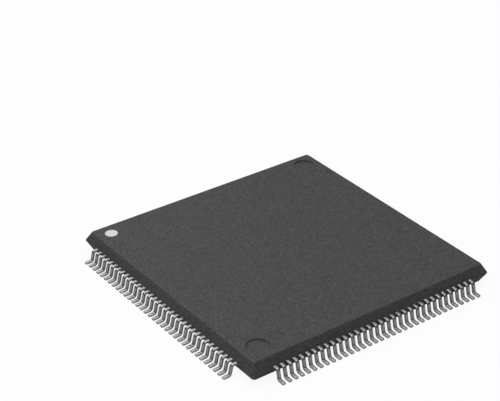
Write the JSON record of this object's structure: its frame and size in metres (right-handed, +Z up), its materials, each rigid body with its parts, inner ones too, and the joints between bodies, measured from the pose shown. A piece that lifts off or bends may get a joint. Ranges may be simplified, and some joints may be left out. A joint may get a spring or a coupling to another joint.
{
  "type": "quad flat pack chip",
  "caption": "Low square moulded chip package with sloped sides, a dot at its first-lead corner, and close-pitched gull-wing leads along all four sides for soldering flat onto a board.",
  "frame": {"origin": "under the middle of the package, on the seating plane that the undersides of the leads' feet lie in", "axes": "+Z up through the top face; the dot and lead 1 are at the -X, +Y corner; leads are counted from there down the -X side and then anticlockwise seen from above"},
  "size_m": [0.022, 0.022, 0.0015],
  "materials": {
    "mold_compound": "fine-grained moulded epoxy, dark grey",
    "white_ink": "flat white marking ink",
    "tinned_lead": "satin tin plating",
    "copper_frame": "etched copper alloy",
    "amber_tape": "amber polyimide film",
    "silver_adhesive": "silver-filled epoxy",
    "silicon": "polished silicon",
    "gold_wire": "drawn gold"
  },
  "bodies": {
    "root": {"mold_body": "mold_compound", "pin_one_dot": "white_ink", "leads_left": "tinned_lead", "leads_front": "tinned_lead", "leads_right": "tinned_lead", "leads_back": "tinned_lead", "die_paddle": "copper_frame", "lead_tape": "amber_tape", "die_adhesive": "silver_adhesive", "silicon_die": "silicon", "wires_left": "gold_wire", "wires_front": "gold_wire", "wires_right": "gold_wire", "wires_back": "gold_wire"}
  },
  "joints": []
}
